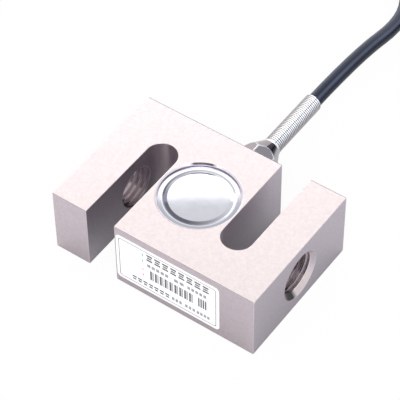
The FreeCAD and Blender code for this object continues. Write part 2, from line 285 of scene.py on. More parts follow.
def satinPlate():
    # satin nickel over a ground block, with painted highlights along its edges, a painted reflection tone on
    # its walls, painted shade on its right faces, painted dark reflections along the front and back edges,
    # and painted light on the lip of each seat
    look = dict(color=(0.68, 0.606, 0.611), shade=(0.61, 0.54, 0.548), edge=(0.95, 0.92, 0.92),
                wall=(0.97, 0.96, 1.03), right=(0.76, 0.78, 0.82), bevel=(0.2, 0.18, 0.18),
                far=(0.05, 0.05, 0.055), lip=(1.25, 1.3, 1.36), lipRadius=0.0138, lipFoot=0.0223)
    material, tree, shader = grainedFinish(
        "satinPlate", look["color"], look["shade"], 1.0, 0.37, 0.05, 0.000014,
        dict(Grainspermetre=2600.0, Mottlespermetre=1000.0, Stretch=(1.0, 1.0, 0.25)))
    color = colorSoFar(shader)
    edge = useGroup(tree, edgeLightAndShade, Width=0.0005)
    side = useGroup(tree, facing)
    # painted reflection tone on the walls, and painted shade on the faces turned right
    color = tinted(tree, ramp(tree, side.outputs["Up"], 0.2, 0.6, 1, 0), color, look["wall"])
    color = tinted(tree, ramp(tree, side.outputs["Right"], 0.8, 0.97), color, look["right"])
    # painted highlights along the edges
    color = blendColor(tree, edge.outputs[0], color, look["edge"])
    disc = useGroup(tree, discPlace, HeadingX=-0.5, HeadingY=0.87)
    outside = ramp(tree, disc.outputs["Radius"], look["lipRadius"], look["lipRadius"] + 0.00005)
    # painted dark reflections along the front top edge and along the back edges
    color = blendColor(tree, product(tree, side.outputs["Front Bevel"], outside), color, look["bevel"])
    color = blendColor(tree, product(tree, edge.outputs["Far Edge"], outside), color, look["far"])
    # painted light on the lip of the seat, with a short arc of painted shadow on its far side
    high = ramp(tree, disc.outputs["Height"], look["lipFoot"], look["lipFoot"] + 0.0002)
    lip = product(tree, maths(tree, "SUBTRACT", 1.0, outside), high)
    color = tinted(tree, lip, color, look["lip"])
    arc = product(tree, ramp(tree, disc.outputs["Towards"], 0.94, 0.98),
                  ramp(tree, side.outputs["Up"], 0.3, 0.5))
    color = blendColor(tree, product(tree, lip, arc), color, look["far"])
    wire(tree, color, shader.inputs["Base Color"])
    return material


def brushedCover():
    # stainless sheet, finely brushed one way before it was pressed; painted dark reflection on its step,
    # strongest towards one side, and painted shade on its flange
    material, tree, shader = grainedFinish(
        "brushedCover", (0.64, 0.645, 0.7), (0.6, 0.61, 0.67), 1.0, 0.1, 0.04, 0.000003,
        dict(Grainspermetre=9000.0, Mottlespermetre=200.0, Stretch=(0.03, 1.0, 1.0),
             Turn=(0.0, 0.0, -0.63)))
    disc = useGroup(tree, discPlace, HeadingX=-0.45, HeadingY=-0.89)
    radius = disc.outputs["Radius"]
    step = product(tree, ramp(tree, radius, 0.0098, 0.01005), ramp(tree, radius, 0.0114, 0.01165, 1, 0))
    # painted dark reflection on the step, set by direction
    ring = product(tree, step, ramp(tree, disc.outputs["Towards"], -0.6, 0.75))
    color = blendColor(tree, ring, colorSoFar(shader), (0.13, 0.13, 0.16))
    # painted shade on the flange
    flange = ramp(tree, radius, 0.0119, 0.0121)
    wire(tree, tinted(tree, flange, color, (0.76, 0.76, 0.78)), shader.inputs["Base Color"])
    return material


def nickelBrass():
    material, tree, shader = grainedFinish(
        "nickelBrass", (0.9, 0.86, 0.88), (0.8, 0.76, 0.78), 1.0, 0.16, 0.05, 0.000004,
        dict(Grainspermetre=5000.0, Stretch=(1.0, 6.0, 1.0)))
    # painted reflection tones, set by how far the surface faces along X
    facingTones(tree, shader, "Right", [
        (0.0, (0.5, 0.45, 0.47)), (0.6, (0.42, 0.39, 0.41)), (0.72, (0.3, 0.3, 0.34)),
        (0.9, (0.5, 0.5, 0.53)), (1.0, (0.55, 0.55, 0.57))])
    # painted dark reflection as a stripe down one side of the cone
    side = useGroup(tree, facing)
    plain = (1.0, 1.0, 1.0)
    paintedDarkReflection = toneStops(tree, ramp(tree, side.outputs["Right"], -1, 1), [
        (0.6, plain), (0.62, (0.07, 0.07, 0.12)), (0.82, (0.08, 0.08, 0.14)), (0.85, plain)])
    color = tinted(tree, ramp(tree, side.outputs["Back"], 0.15, 0.3), colorSoFar(shader), paintedDarkReflection)
    # painted highlights along the upward-facing edges
    edge = ramp(tree, useGroup(tree, edgeLightAndShade, Width=0.0009).outputs["Edge"], 0.03, 0.1)
    edge = product(tree, edge, ramp(tree, side.outputs["Up"], 0.4, 0.6))
    wire(tree, blendColor(tree, edge, color, plain), shader.inputs["Base Color"])
    return material


def springWireFinish():
    material, tree, shader = grainedFinish(
        "springWire", (1.0, 1.0, 1.0), (0.93, 0.93, 0.95), 1.0, 0.38, 0.05, 0.000003,
        dict(Grainspermetre=7000.0))
    # painted reflection tones run lengthwise, laid out by the place across the guard: painted shade at both
    # sides, a painted highlight, one thin dark line of painted reflection and a cooler band
    place = addNode(tree, "ShaderNodeSeparateXYZ")
    wire(tree, addNode(tree, "ShaderNodeTexCoord").outputs["Object"], place.inputs[0])
    lean, half = math.radians(27.3), 0.00265
    drop = product(tree, maths(tree, "SUBTRACT", place.outputs[2], glandAxis.z), -math.sin(lean))
    across = maths(tree, "MULTIPLY_ADD", place.outputs[0], math.cos(lean), drop)
    shaded, highlightTone, line, coolReflection = (0.5, 0.48, 0.49), (1.0, 1.0, 1.0), (0.16, 0.16, 0.2), (0.82, 0.84, 0.9)
    tone = toneStops(tree, ramp(tree, across, -half, half), [
        (0.0, shaded), (0.2, highlightTone), (0.46, highlightTone), (0.5, line), (0.54, coolReflection), (0.75, coolReflection),
        (0.95, shaded)])
    wire(tree, tinted(tree, 1, colorSoFar(shader), tone), shader.inputs["Base Color"])
    return material


def labelFilm():
    return grainedFinish("labelFilm", (0.96, 0.96, 0.965), (0.93, 0.93, 0.94), 0.0, 0.42, 0.05, 0.000006,
                         dict(Grainspermetre=4000.0, Mottlespermetre=150.0))[0]


def printInk(name, color):
    return grainedFinish(name, color, tuple(c * 1.25 + 0.01 for c in color), 0.0, 0.5, 0.06, 0.000003,
                         dict(Grainspermetre=8000.0, Mottlespermetre=1500.0))[0]


def jacketPvc():
    # soft black PVC, its tone set by how far it faces up: two streaks of painted highlight beside the crest,
    # a little darker where it faces down
    material, tree, shader = grainedFinish(
        "jacketPvc", (0.8, 0.8, 0.8), (1.0, 1.0, 1.0), 0.0, 0.34, 0.06, 0.00002,
        dict(Grainspermetre=3000.0, Mottlespermetre=60.0), SpecularIORLevel=0.25,
        SpecularTint=(0.75, 0.85, 1.0, 1.0))
    facingTones(tree, shader, "Up", [
        (0.3, (0.006, 0.008, 0.02)), (0.8, (0.009, 0.012, 0.027)), (0.9, (0.08, 0.093, 0.14)),
        (0.94, (0.07, 0.083, 0.13)), (0.98, (0.011, 0.014, 0.032)), (1.0, (0.011, 0.014, 0.032))])
    return material


def tieNylon():
    return grainedFinish("tieNylon", (0.02, 0.02, 0.022), (0.032, 0.032, 0.035), 0.0, 0.45, 0.05, 0.00001,
                         dict(Grainspermetre=4000.0, Mottlespermetre=400.0))[0]


def wireInsulation(name, color):
    return grainedFinish(name, color, tuple(c * 0.8 for c in color), 0.0, 0.3, 0.05, 0.000006,
                         dict(Grainspermetre=5000.0, Mottlespermetre=300.0))[0]


def tinnedCopper():
    return grainedFinish("tinnedCopper", (0.72, 0.7, 0.66), (0.62, 0.58, 0.52), 1.0, 0.3, 0.08, 0.000006,
                         dict(Grainspermetre=6000.0, Mottlespermetre=900.0))[0]


def stripedFinish(name, ground, lines, perMetre, turn, share):
    # fine parallel lines of another colour, such as foil fingers or board tracks
    material, tree, shader = grainedFinish(
        name, ground, tuple(c * 0.85 for c in ground), 0.0, 0.4, 0.05, 0.000005, dict(Mottlespermetre=600.0))
    bands = addNode(tree, "ShaderNodeTexWave", bands_direction="X")
    bands.inputs["Scale"].default_value = perMetre
    place = addNode(tree, "ShaderNodeTexCoord").outputs["Object"]
    mapping = addNode(tree, "ShaderNodeMapping")
    mapping.inputs["Rotation"].default_value = (0, 0, turn)
    wire(tree, place, mapping.inputs["Vector"])
    wire(tree, mapping.outputs[0], bands.inputs["Vector"])
    mask = ramp(tree, bands.outputs["Fac"], 1 - share - 0.05, 1 - share + 0.05)
    wire(tree, blendColor(tree, mask, colorSoFar(shader), lines), shader.inputs["Base Color"])
    return material


finishes = dict(
    plate=satinPlate(), cover=brushedCover(), gland=nickelBrass(), spring=springWireFinish(),
    label=labelFilm(), ink=printInk("printInk", (0.09, 0.09, 0.11)), jacket=jacketPvc(), tie=tieNylon(),
    paleInk=printInk("paleInk", (0.28, 0.28, 0.3)), tealInk=printInk("tealInk", (0.08, 0.3, 0.32)),
    redInk=printInk("redInk", (0.5, 0.08, 0.12)),
    tinned=tinnedCopper(),
    gauge=stripedFinish("gaugeFilm", (0.62, 0.36, 0.1), (0.42, 0.42, 0.44), 700.0, math.radians(45), 0.45),
    board=stripedFinish("solderMask", (0.02, 0.2, 0.08), (0.04, 0.3, 0.13), 180.0, 0.0, 0.3),
    chip=stripedFinish("chipCeramic", (0.03, 0.03, 0.035), (0.6, 0.6, 0.6), 98.0, 0.0, 0.25),
)
wireColors = dict(red=(0.55, 0.02, 0.02), black=(0.015, 0.015, 0.017), green=(0.02, 0.26, 0.07),
                  white=(0.82, 0.82, 0.8), shield=(0.55, 0.5, 0.32))
for color, tone in wireColors.items():
    finishes[color] = wireInsulation(color + "Insulation", tone)
print("finishes made")


def newPiece(name, mesh, finish):
    piece = bpy.data.objects.new(name, mesh)
    bpy.context.scene.collection.objects.link(piece)
    if finish and finishes[finish].name not in mesh.materials:
        mesh.materials.clear()
        mesh.materials.append(finishes[finish])
    return piece


def settle(piece):
    # the modifiers' result becomes the piece's own plain mesh
    graph = bpy.context.evaluated_depsgraph_get()
    mesh = bpy.data.meshes.new_from_object(piece.evaluated_get(graph), depsgraph=graph)
    piece.modifiers.clear()
    piece.data = mesh
    return piece


def bevelled(piece, width, segments=2, angle=50):
    bevel = piece.modifiers.new("edges", "BEVEL")
    bevel.width = width
    bevel.segments = segments
    bevel.limit_method = "ANGLE"
    bevel.angle_limit = math.radians(angle)
    return settle(piece)


def smoothed(piece, angle=32):
    # smooth faces, sharp past the angle, with flats kept flat
    piece.data.shade_smooth()
    piece.data.set_sharp_from_angle(angle=math.radians(angle))
    weighted = piece.modifiers.new("flats", "WEIGHTED_NORMAL")
    weighted.keep_sharp = True
    return settle(piece)


def softened(corners, steps=6):
    # outline through corners (u, v, radius), each rounded by a tangent arc
    points = []
    for i, (u, v, radius) in enumerate(corners):
        here = Vector((u, v))
        if not radius:
            points.append(here)
            continue
        back = (Vector(corners[i - 1][:2]) - here).normalized()
        ahead = (Vector(corners[(i + 1) % len(corners)][:2]) - here).normalized()
        half = back.angle(ahead) / 2
        centre = here + (back + ahead).normalized() * (radius / math.sin(half))
        first = here + back * (radius / math.tan(half)) - centre
        last = here + ahead * (radius / math.tan(half)) - centre
        turn = first.angle_signed(last)
        for step in range(steps + 1):
            points.append(centre + Matrix.Rotation(-turn * step / steps, 2) @ first)
    return points


def roundedBox(left, foot, right, head, radius):
    return softened([(u, v, radius) for u, v in ((left, foot), (right, foot), (right, head), (left, head))])


def meshOf(name, points, faces):
    mesh = bpy.data.meshes.new(name)
    mesh.from_pydata(points, [], faces)
    work = bmesh.new()
    work.from_mesh(mesh)
    bmesh.ops.remove_doubles(work, verts=work.verts, dist=1e-7)
    bmesh.ops.recalc_face_normals(work, faces=work.faces)
    work.to_mesh(mesh)
    work.free()
    return mesh


def turnedMesh(name, profile, base, axis, side, steps):
    # closed profile (radius, distance) turned about the axis through base
    across = axis.cross(side)
    points = []
    for step in range(steps):
        angle = 2 * math.pi * step / steps
        out = side * math.cos(angle) + across * math.sin(angle)
        points += [base + out * p[0] + axis * p[1] for p in profile]
    count = len(profile)
    faces = []
    for step in range(steps):
        after = (step + 1) % steps
        for i in range(count):
            j = (i + 1) % count
            if profile[i][0] < 1e-9 and profile[j][0] < 1e-9:
                continue
            faces.append((step * count + i, step * count + j, after * count + j, after * count + i))
    return meshOf(name, points, faces)


def turnedPiece(name, profile, base, axis, side, steps, finish):
    return newPiece(name, turnedMesh(name, profile, base, axis, side, steps), finish)


def prismMesh(name, outline, place, depth):
    # outline laid out by place(u, v), drawn along depth
    count = len(outline)
    near = [place(p[0], p[1]) for p in outline]
    points = near + [p + depth for p in near]
    faces = [tuple(range(count)), tuple(range(2 * count - 1, count - 1, -1))]
    faces += [(i, (i + 1) % count, count + (i + 1) % count, count + i) for i in range(count)]
    return meshOf(name, points, faces)


def roundCurve(name, points, radius, roundness, fineness):
    # round tube along a smooth line, with the points as its control points
    curve = bpy.data.curves.new(name, "CURVE")
    curve.dimensions = "3D"
    curve.bevel_depth = radius
    curve.bevel_resolution = roundness
    curve.use_fill_caps = True
    curve.resolution_u = fineness
    spline = curve.splines.new("NURBS")
    spline.points.add(len(points) - 1)
    for point, place in zip(spline.points, points):
        point.co = (*place, 1)
    spline.order_u = 3
    spline.use_endpoint_u = True
    piece = bpy.data.objects.new(name, curve)
    bpy.context.scene.collection.objects.link(piece)
    return piece


def prismPiece(name, outline, place, depth, finish):
    return newPiece(name, prismMesh(name, outline, place, depth), finish)


def tubeMesh(name, points, radius, roundness):
    holder = roundCurve(name, points, radius, roundness, 8)
    graph = bpy.context.evaluated_depsgraph_get()
    mesh = bpy.data.meshes.new_from_object(holder.evaluated_get(graph), depsgraph=graph)
    bpy.data.objects.remove(holder)
    return mesh


def cut(piece, *cutters, operation="DIFFERENCE"):
    for cutter in cutters:
        boolean = piece.modifiers.new("cut", "BOOLEAN")
        boolean.operation = operation
        boolean.solver = "EXACT"
        boolean.object = cutter
    settle(piece)
    for cutter in cutters:
        bpy.data.objects.remove(cutter)
    return piece


def joined(name, pieces):
    # several meshes as one piece, materials kept
    work = bmesh.new()
    mesh = bpy.data.meshes.new(name)
    for piece in pieces:
        count = len(mesh.materials)
        for material in piece.data.materials:
            mesh.materials.append(material)
        start = len(work.faces)
        work.from_mesh(piece.data)
        work.faces.ensure_lookup_table()
        for face in work.faces[start:]:
            face.material_index += count
        bpy.data.objects.remove(piece)
    work.to_mesh(mesh)
    work.free()
    made = bpy.data.objects.new(name, mesh)
    bpy.context.scene.collection.objects.link(made)
    return made


camera = dict(azimuth=36.0, elevation=48.72, roll=-0.78, distance=0.6281, lens=179.25,
              right=0.00018, up=0.0069)


def addCamera():
    turn, rise, roll = (math.radians(camera[k]) for k in ("azimuth", "elevation", "roll"))
    back = Vector((math.sin(turn) * math.cos(rise), -math.cos(turn) * math.cos(rise), math.sin(rise)))
    right = alongZ.cross(back).normalized()
    up = back.cross(right)
    right, up = right * math.cos(roll) + up * math.sin(roll), up * math.cos(roll) - right * math.sin(roll)
    eye = bpy.data.objects.new("camera", bpy.data.cameras.new("camera"))
    eye.data.lens = camera["lens"]
    eye.data.sensor_width = 36
    eye.data.clip_start = 0.01
    place = Vector((0, 0, midZ)) + right * camera["right"] + up * camera["up"] + back * camera["distance"]
    eye.matrix_world = Matrix.Translation(place) @ Matrix((right, up, back)).transposed().to_4x4()
    bpy.context.scene.collection.objects.link(eye)
    bpy.context.scene.camera = eye


addCamera()

cable = dict(
    diameter=0.0051, length=1.98,
    route=[(0, 0.0638, 0.0115), (0, 0.092, 0.0115), (0.0017, 0.1218, 0.006)],
    coilCentre=Vector((0.017, 0.179, 0)), middleTurn=0.0305, columns=5,
    lieHeight=0.0026, leadIn=0.0205, exitHeading=190.0, firstHeight=0.00345, pointsPerTurn=16,
    jogFrom=290.0, jogTo=350.0,  # stretch of each turn where it steps over to the next one
    leadOut=0.0205, tail=0.04025, descent=8.5,
)


def headingOf(degrees):
    turn = math.radians(degrees)
    return Vector((math.sin(turn), math.cos(turn), 0))


def coilPoint(heading, radius, height):
    # the cable runs clockwise round the coil; heading is its direction there, from Y towards X
    ahead = headingOf(heading)
    return cable["coilCentre"] + Vector((-ahead.y, ahead.x, 0)) * radius + alongZ * height


def layEntry():
    # heading and first point of the coil, where the last straight run touches the outer turn
    bend = Vector(cable["route"][-1])
    reach = cable["coilCentre"] - Vector((bend.x, bend.y, 0))
    entry = math.degrees(math.atan2(reach.x, reach.y) - math.asin(cable["outerTurn"] / reach.length))
    touch = coilPoint(entry, cable["outerTurn"], cable["lieHeight"])
    return entry, touch - (touch - bend).normalized() * cable["leadIn"]


def coilPoints(entry):
    # lower row wound inwards, a climb at the innermost turn, upper row wound outwards
    gap, perTurn = cable["diameter"], cable["pointsPerTurn"]
    columns = cable["columns"]
    swell = 1 / math.cos(math.pi / perTurn)
    turns = 2 * columns - 1 + (cable["exitHeading"] - entry) / 360
    points = []
    for step in range(1, int(turns * perTurn) + 1):
        turn, phase = divmod(step / perTurn, 1)
        jog = (phase * 360 - cable["jogFrom"]) / (cable["jogTo"] - cable["jogFrom"])
        jog = min(max(jog, 0), 1)
        jog = jog * jog * (3 - 2 * jog)
        lift = 0
        if turn < columns - 1:
            column = turn + jog
        elif turn == columns - 1:
            column = turn
            lift = math.sin(math.acos(1 - jog))
        else:
            column = 2 * columns - 1 - turn - jog
            lift = 1
        height = cable["firstHeight"] + lift * gap
        points.append(coilPoint(entry + phase * 360, (cable["outerTurn"] - column * gap) * swell, height))
    return points


def addCable():
    entry, coilStart = layEntry()
    points = [Vector(p) for p in cable["route"]] + [coilStart] + coilPoints(entry)
    fall = math.radians(cable["descent"])
    ahead = headingOf(cable["exitHeading"]) * math.cos(fall) - alongZ * math.sin(fall)
    leave = coilPoint(cable["exitHeading"], cable["outerTurn"], cable["firstHeight"] + cable["diameter"])
    end = leave + ahead * cable["tail"]
    points += [leave + ahead * cable["leadOut"], end]
    piece = roundCurve("cableRun", points, cable["diameter"] / 2, 5, 6)
    piece.data.materials.append(finishes["jacket"])
    return piece, end, ahead


cable["outerTurn"] = cable["middleTurn"] + (cable["columns"] - 1) * cable["diameter"] / 2
cableRun, cableEnd, cableHeading = addCable()
print("cable laid")

block = dict(
    arm=0.0133, slot=0.0107, bridge=0.0133, edge=0.00035,
    threadCore=0.0069175, threadMajor=0.008, threadPitch=0.002, mouth=0.0088,
    pocket=0.0115, seat=0.0133, seatDepth=0.0015, seatBreak=0.0005, web=0.003,
    glandHole=0.0045087, glandDepth=0.009,
)


def threadCutter(side):
    # one long V groove wound right-handed along the load line
    pitch, major = block["threadPitch"], block["threadMajor"]
    inner = block["threadCore"] - 0.0003
    start = endX - block["arm"] - pitch
    stop = endX - block["mouth"] + block["threadCore"] + pitch * 0.6
    perTurn = 64
    steps = int((stop - start) / pitch * perTurn)
    crest = pitch / 16
    base = crest + (major - inner) * math.tan(math.radians(30))
    section = [(inner, -base), (inner, base), (major, crest), (major, -crest)]
    points, faces = [], []
    for step in range(steps + 1):
        angle = 2 * math.pi * step / perTurn
        along = start + pitch * step / perTurn
        for radius, shift in section:
            points.append(Vector((side * (along + shift), -side * radius * math.sin(angle),
                                  midZ + radius * math.cos(angle))))
    for step in range(steps):
        a, b = step * 4, step * 4 + 4
        faces += [(a + i, a + (i + 1) % 4, b + (i + 1) % 4, b + i) for i in range(4)]
    faces += [(0, 1, 2, 3), (4 * steps + 3, 4 * steps + 2, 4 * steps + 1, 4 * steps)]
    return newPiece("threadCutter", meshOf("threadCutter", points, faces), None)


def blockCutters():
    cutters = []
    middle = Vector((0, 0, midZ))
    for side in (-1, 1):
        mouth, core = block["mouth"], block["threadCore"]
        inside = endX - block["arm"] - block["edge"]
        hole = [(0, inside), (core, inside), (core, endX - mouth + core),
                (mouth + 0.001, endX + 0.001), (0, endX + 0.001)]
        cutters.append(turnedPiece("hole", hole, middle, alongX * side, alongZ, 96, None))
        face, floor = blockTop / 2, block["web"] / 2
        seat, lip = block["seat"], block["seatBreak"]
        ledge = face - block["seatDepth"]
        pocket = [(0, floor), (block["pocket"], floor), (block["pocket"], ledge), (seat, ledge),
                  (seat, face - lip), (seat + lip + 0.001, face + 0.001), (0, face + 0.001)]
        cutters.append(turnedPiece("pocket", pocket, middle, alongZ * side, alongX, 160, None))
    depth = block["glandDepth"]
    bore = [(0, -depth), (block["glandHole"], -depth), (block["glandHole"], 0.001), (0, 0.001)]
    cutters.append(turnedPiece("bore", bore, glandAxis, alongY, alongZ, 48, None))
    return cutters


def addBlock():
    slotOuter = endX - block["arm"]
    slotInner = slotOuter - block["slot"]
    slotEnd = wallY - block["bridge"]
    radius = block["slot"] / 2
    half = [(-endX, -wallY, 0), (-slotOuter, -wallY, 0), (-slotOuter, slotEnd, radius * 0.999),
            (-slotInner, slotEnd, radius * 0.999), (-slotInner, -wallY, 0), (endX, -wallY, 0)]
    outline = softened(half + [(-u, -v, r) for u, v, r in half], steps=16)
    mesh = prismMesh("block", outline, lambda u, v: Vector((u, v, 0)), alongZ * blockTop)
    piece = newPiece("block", mesh, "plate")
    bevelled(piece, block["edge"], 3)
    cut(piece, *blockCutters())
    cut(piece, threadCutter(-1), threadCutter(1))
    return smoothed(piece)


blockPiece = addBlock()
print("block cut", len(blockPiece.data.polygons), "faces")

cover = dict(radius=0.01315, sheet=0.0005, flange=0.001, rim=0.0116, floor=0.00985, middle=0.0007,
             crown=0.0002, crownSteps=8)


def addCover(side):
    # depths run down from the face of the block
    face = blockTop / 2
    top, low = face - cover["flange"], face - cover["middle"] - cover["crown"]
    rim, floor, sheet = cover["rim"], cover["floor"], cover["sheet"]
    shares = [k / cover["crownSteps"] for k in range(cover["crownSteps"])]
    outline = [(floor * k, low + cover["crown"] * (1 - k ** 2), 0) for k in shares] + [
        (floor, low, 0.0003), (rim - 0.0006, top - 0.0003, 0.0003), (rim, top, 0.0002),
        (cover["radius"], top - 0.0001, 0.0002), (cover["radius"], top - sheet, 0.0001),
        (rim - 0.0002, top - sheet, 0.0002), (floor - 0.0001, low - 2 * sheet, 0.0002),
        (0, low - 2 * sheet, 0),
    ]
    profile = softened(outline, steps=5)
    name = "coverTop" if side > 0 else "coverBottom"
    return smoothed(turnedPiece(name, profile, Vector((0, 0, midZ)), alongZ * side, alongX, 160, "cover"), 40)


covers = {side: addCover(side) for side in (1, -1)}
print("covers pressed")

gland = dict(shank=0.0044587, shankLength=0.0075, across=0.012, turn=25.0, hexLength=0.0082,
             crown=0.0069, coneLength=0.0063, nose=0.0035, noseLength=0.0005, grip=0.003,
             cableHole=0.0026, guardHole=0.00325)


def addGland():
    hexEnd = gland["hexLength"]
    coneEnd = hexEnd + gland["coneLength"]
    end = coneEnd + gland["noseLength"]
    outline = [
        (gland["cableHole"], -gland["shankLength"], 0), (gland["shank"], -gland["shankLength"], 0.0004),
        (gland["shank"], 0, 0), (gland["crown"] - 0.0004, 0, 0), (gland["crown"], 0.0004, 0),
        (gland["crown"], hexEnd, 0.0006), (gland["nose"], coneEnd, 0.001),
        (gland["nose"], end, 0.0001), (gland["guardHole"], end, 0.0001),
        (gland["guardHole"], end - gland["grip"], 0), (gland["cableHole"], end - gland["grip"], 0),
    ]
    profile = softened(outline, steps=5)
    body = turnedPiece("gland", profile, glandAxis, alongY, alongZ, 128, "gland")
    corner = gland["across"] / math.sqrt(3)
    points = []
    for i in range(6):
        angle = math.radians(60 * i + 30 + gland["turn"])
        points.append((corner * math.sin(angle), corner * math.cos(angle)))
    start = glandAxis - alongY * 0.01
    bar = prismPiece("bar", points, lambda u, v: start + alongX * u + alongZ * v, alongY * 0.04, None)
    bevelled(bar, 0.00012, angle=30)
    cut(body, bar, operation="INTERSECT")
    return smoothed(body, 24)


def painted(tree, shape, given, target):
    # instances become real faces, then take the finish
    real = addNode(tree, "GeometryNodeRealizeInstances")
    paint = addNode(tree, "GeometryNodeSetMaterial")
    wire(tree, shape, real.inputs["Geometry"])
    wire(tree, real.outputs[0], paint.inputs["Geometry"])
    wire(tree, given.outputs["Finish"], paint.inputs["Material"])
    wire(tree, paint.outputs[0], target)


def treeEnds(tree, result, **kinds):
    # a Geometry Nodes tree's named inputs and its one result
    for label, kind in kinds.items():
        tree.interface.new_socket(name=label, in_out="INPUT", socket_type="NodeSocket" + kind)
    tree.interface.new_socket(name=result, in_out="OUTPUT", socket_type="NodeSocketGeometry")
    return addNode(tree, "NodeGroupInput"), addNode(tree, "NodeGroupOutput")


def helixTree():
    # close-wound spring: turns, pitch, radii and where it starts
    tree = bpy.data.node_groups.new("springHelix", "GeometryNodeTree")
    given, out = treeEnds(tree, "Spring", Turns="Float", Length="Float", CoilRadius="Float",
                          WireRadius="Float", Start="Vector", Finish="Material")
    spiral = addNode(tree, "GeometryNodeCurveSpiral")
    spiral.inputs["Resolution"].default_value = 32
    for target, label in (("Rotations", "Turns"), ("Start Radius", "CoilRadius"),
                          ("End Radius", "CoilRadius"), ("Height", "Length")):
        wire(tree, given.outputs[label], spiral.inputs[target])
    ring = addNode(tree, "GeometryNodeCurvePrimitiveCircle")
    ring.inputs["Resolution"].default_value = 10
    wire(tree, given.outputs["WireRadius"], ring.inputs["Radius"])
    sweep = addNode(tree, "GeometryNodeCurveToMesh")
    sweep.inputs["Fill Caps"].default_value = True
    wire(tree, spiral.outputs[0], sweep.inputs["Curve"])
    wire(tree, ring.outputs[0], sweep.inputs["Profile Curve"])
    move = addNode(tree, "GeometryNodeTransform")
    move.inputs["Rotation"].default_value = (-math.pi / 2, 0, 0)
    wire(tree, sweep.outputs[0], move.inputs["Geometry"])
    wire(tree, given.outputs["Start"], move.inputs["Translation"])
    smooth = addNode(tree, "GeometryNodeSetShadeSmooth")
    wire(tree, move.outputs[0], smooth.inputs["Geometry"])
    painted(tree, smooth.outputs[0], given, out.inputs["Spring"])
    return tree


def grown(name, tree, **values):
    # a piece made by a Geometry Nodes tree, its inputs set by their identifiers
    piece = bpy.data.objects.new(name, bpy.data.meshes.new(name))
    bpy.context.scene.collection.objects.link(piece)
    modifier = piece.modifiers.new(name, "NODES")
    modifier.node_group = tree
    for item in tree.interface.items_tree:
        if item.in_out == "INPUT" and item.name in values:
            modifier[item.identifier] = values[item.name]
    return settle(piece)


guard = dict(wire=0.0006, pitch=0.00078, past=0.002)


def addGuard():
    radius = guard["wire"] / 2
    low, high = guardLow.y + radius, guardHigh.y - radius + guard["past"]
    coil = (guardHigh.x - guardLow.x) / 2 - radius
    return grown("springWire", helixTree(), Turns=(high - low) / guard["pitch"], Length=high - low,
                 CoilRadius=coil, WireRadius=radius, Start=(0, low, glandAxis.z), Finish=finishes["spring"])


glandPiece = addGland()
guardPiece = addGuard()
print("gland and guard made", len(glandPiece.data.polygons), len(guardPiece.data.polygons))


def rowTree():
    # equal small blocks in a row, such as the teeth of a tie
    tree = bpy.data.node_groups.new("rowOfBlocks", "GeometryNodeTree")
    given, out = treeEnds(tree, "Blocks", Count="Int", Start="Vector", Step="Vector", Size="Vector",
                          Finish="Material")
    line = addNode(tree, "GeometryNodeMeshLine")
    wire(tree, given.outputs["Count"], line.inputs["Count"])
    wire(tree, given.outputs["Start"], line.inputs["Start Location"])
    wire(tree, given.outputs["Step"], line.inputs["Offset"])
    brick = addNode(tree, "GeometryNodeMeshCube")
    wire(tree, given.outputs["Size"], brick.inputs["Size"])
    place = addNode(tree, "GeometryNodeInstanceOnPoints")
    wire(tree, line.outputs[0], place.inputs["Points"])
    wire(tree, brick.outputs[0], place.inputs["Instance"])
    painted(tree, place.outputs[0], given, out.inputs["Blocks"])
    return tree


rowOfBlocks = rowTree()


# rows of plain marks: finish, count, left, head, width, height, pitch
label = dict(inset=0.0011, line=0.00022, ink=0.00003, corner=0.0015, marks=[
    ("tealInk", 1, 0.0101, 0.0026, 0.0003, 0.0014, 0), ("tealInk", 1, 0.0101, 0.0056, 0.0003, 0.0009, 0),
    ("redInk", 1, 0.0101, 0.0098, 0.0003, 0.0007, 0), ("redInk", 1, 0.0101, 0.0123, 0.0003, 0.0009, 0),
    ("ink", 8, 0.0118, 0.0021, 0.0022, 0.0007, 0.00302), ("ink", 8, 0.0120, 0.0032, 0.0017, 0.0006, 0.00302),
    ("ink", 8, 0.0118, 0.0042, 0.0022, 0.0007, 0.00302),
    ("paleInk", 5, 0.0120, 0.0065, 0.0012, 0.0013, 0.0017),
    ("paleInk", 2, 0.0222, 0.0065, 0.0015, 0.0013, 0.0021),
    ("paleInk", 5, 0.0272, 0.0065, 0.0010, 0.0013, 0.0015),
    ("ink", 9, 0.0130, 0.0092, 0.0006, 0.0042, 0.00185), ("ink", 9, 0.0141, 0.0092, 0.0002, 0.0042, 0.00185),
    ("paleInk", 9, 0.0137, 0.0092, 0.0002, 0.0042, 0.00185),
    ("ink", 4, 0.0312, 0.0092, 0.0005, 0.0042, 0.00085),
    ("ink", 7, 0.0060, 0.0158, 0.0016, 0.0006, 0.0021), ("ink", 7, 0.0062, 0.0169, 0.0012, 0.0006, 0.0021),
    ("paleInk", 3, 0.0212, 0.0160, 0.0009, 0.0013, 0.0014),
    ("paleInk", 3, 0.0262, 0.0160, 0.0009, 0.0013, 0.0014),
    ("paleInk", 4, 0.0306, 0.0160, 0.0009, 0.0013, 0.0013),
])


def plate(name, left, foot, right, head, corner, front, thick, finish):
    # thin upright plate in front of the label wall, rounded corners
    outline = roundedBox(left, foot, right, head, corner)
    return prismPiece(name, outline, lambda u, v: Vector((u, front, v)), alongY * thick, finish)


